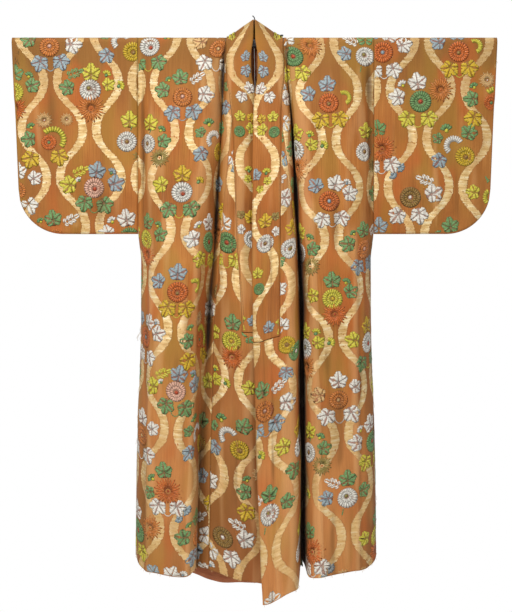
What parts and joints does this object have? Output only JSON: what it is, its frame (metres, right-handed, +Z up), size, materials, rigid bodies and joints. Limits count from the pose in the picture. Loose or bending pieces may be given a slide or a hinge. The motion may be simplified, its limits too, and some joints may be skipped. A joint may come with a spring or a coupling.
{
  "type": "noh robe on a hanging rod",
  "caption": "Small-sleeved silk brocade robe with neckband and overlap panels, hung on a round rod through its sleeves.",
  "frame": {"origin": "middle of the rod, on its axis", "axes": "+X to the wearer's left along the rod, +Y to the back of the robe, +Z up"},
  "size_m": [1.406, 0.1904, 1.6903],
  "materials": {
    "brocade": "woven silk with gold-figured bands, worn",
    "lining": "plain silk",
    "black_lacquer": "black lacquer, satin"
  },
  "bodies": {
    "root": {"front_left": "brocade", "front_right": "brocade", "overlap_left": "brocade", "overlap_right": "brocade", "back_left": "brocade", "back_right": "brocade", "sleeve_left": "brocade", "sleeve_right": "brocade", "neckband": "brocade", "hem_facing": "lining", "rod": "black_lacquer", "neck_prop": "black_lacquer"}
  },
  "joints": []
}
